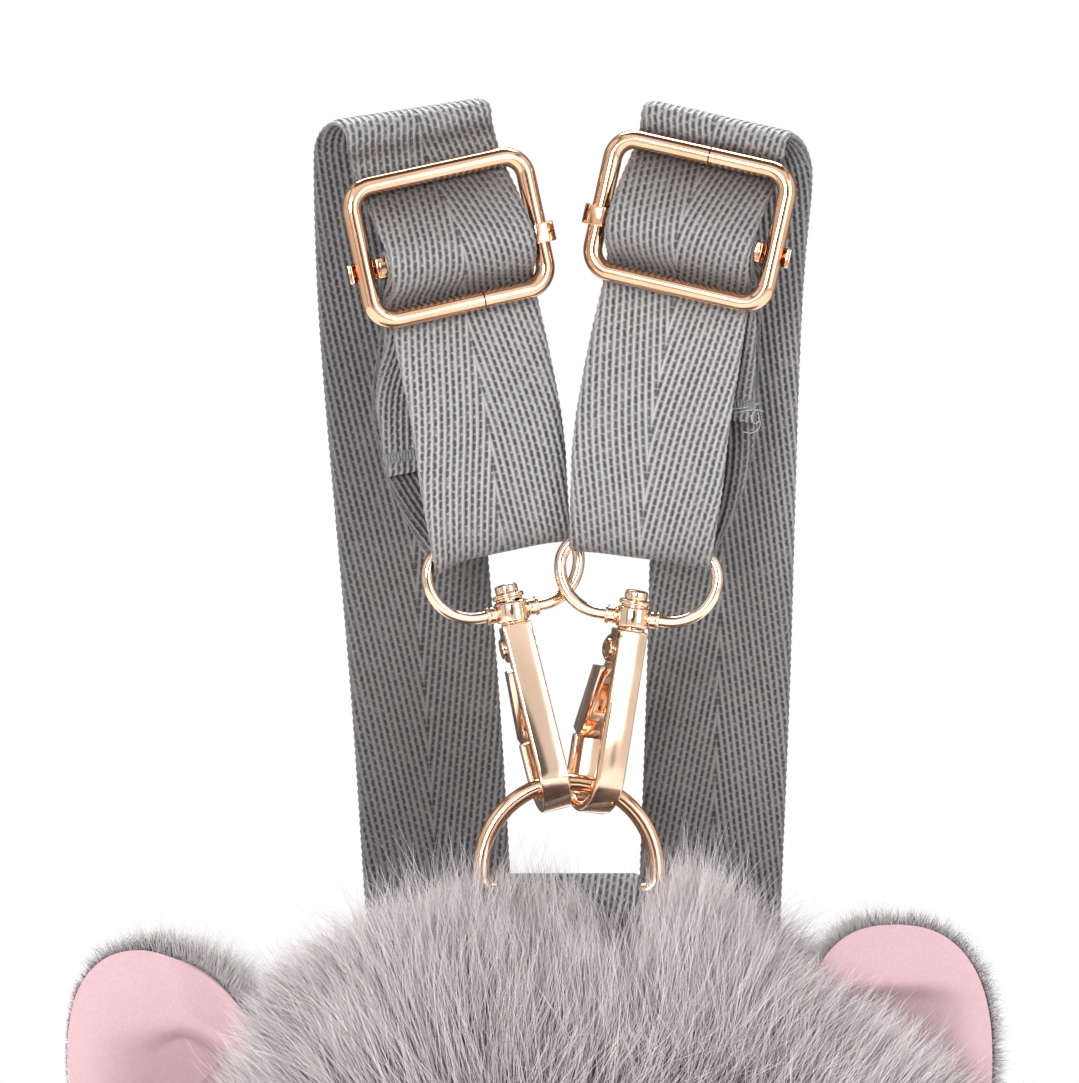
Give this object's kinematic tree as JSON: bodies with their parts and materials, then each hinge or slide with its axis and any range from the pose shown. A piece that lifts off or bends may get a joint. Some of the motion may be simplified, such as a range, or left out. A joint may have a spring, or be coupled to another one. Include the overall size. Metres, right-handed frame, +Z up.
{
  "type": "plush backpack",
  "caption": "Small plush animal backpack: a hollow furry head with pink-lined ears, hung by webbing straps with sliders and sprung swivel hooks that clip to a ring on its top.",
  "frame": {"origin": "midway between the tops of the two strap folds, where a rail would carry them", "axes": "+Z is up, -Y is the front that the picture shows and +X is the viewer's right"},
  "size_m": [0.182, 0.1113, 0.3256],
  "materials": {
    "webbing": "herringbone twill webbing",
    "rose_gold": "polished rose-gold plating",
    "bag_cloth": "short plush cloth",
    "fur": "long soft pile",
    "ear_fur": "short pile",
    "ear_satin": "smooth velour",
    "zip_tape": "woven tape with teeth"
  },
  "bodies": {
    "backpack": {"front_panel": "bag_cloth", "side_panel": "bag_cloth", "back_panel": "bag_cloth", "fur_pile": "fur", "zip": "zip_tape", "top_tab": "webbing", "top_ring": "rose_gold", "strap_left": "webbing", "strap_right": "webbing", "ear_left_back": "ear_fur", "ear_right_back": "ear_fur", "ear_left_lining": "ear_satin", "ear_right_lining": "ear_satin", "slider_frame_left": "rose_gold", "slider_bar_left": "rose_gold", "hook_loop_left": "rose_gold", "hook_body_left": "rose_gold", "slider_frame_right": "rose_gold", "slider_bar_right": "rose_gold", "hook_loop_right": "rose_gold", "hook_body_right": "rose_gold"},
    "lever_left": {"hook_lever_left": "rose_gold"},
    "lever_right": {"hook_lever_right": "rose_gold"}
  },
  "joints": [
    {"name": "lever_left_hinge", "type": "hinge", "parent": "backpack", "child": "lever_left", "pos_m": [-0.00881, 0.00775, -0.092], "axis": [-0.9585, -0.1732, -0.2265], "range_deg": [0, 20], "stiffness_Nm_per_rad": 0.03, "springref_deg": -22.92},
    {"name": "lever_right_hinge", "type": "hinge", "parent": "backpack", "child": "lever_right", "pos_m": [0.00919, 0.00428, -0.09261], "axis": [-0.9067, -0.4057, 0.1149], "range_deg": [0, 20], "stiffness_Nm_per_rad": 0.03, "springref_deg": -22.92}
  ]
}
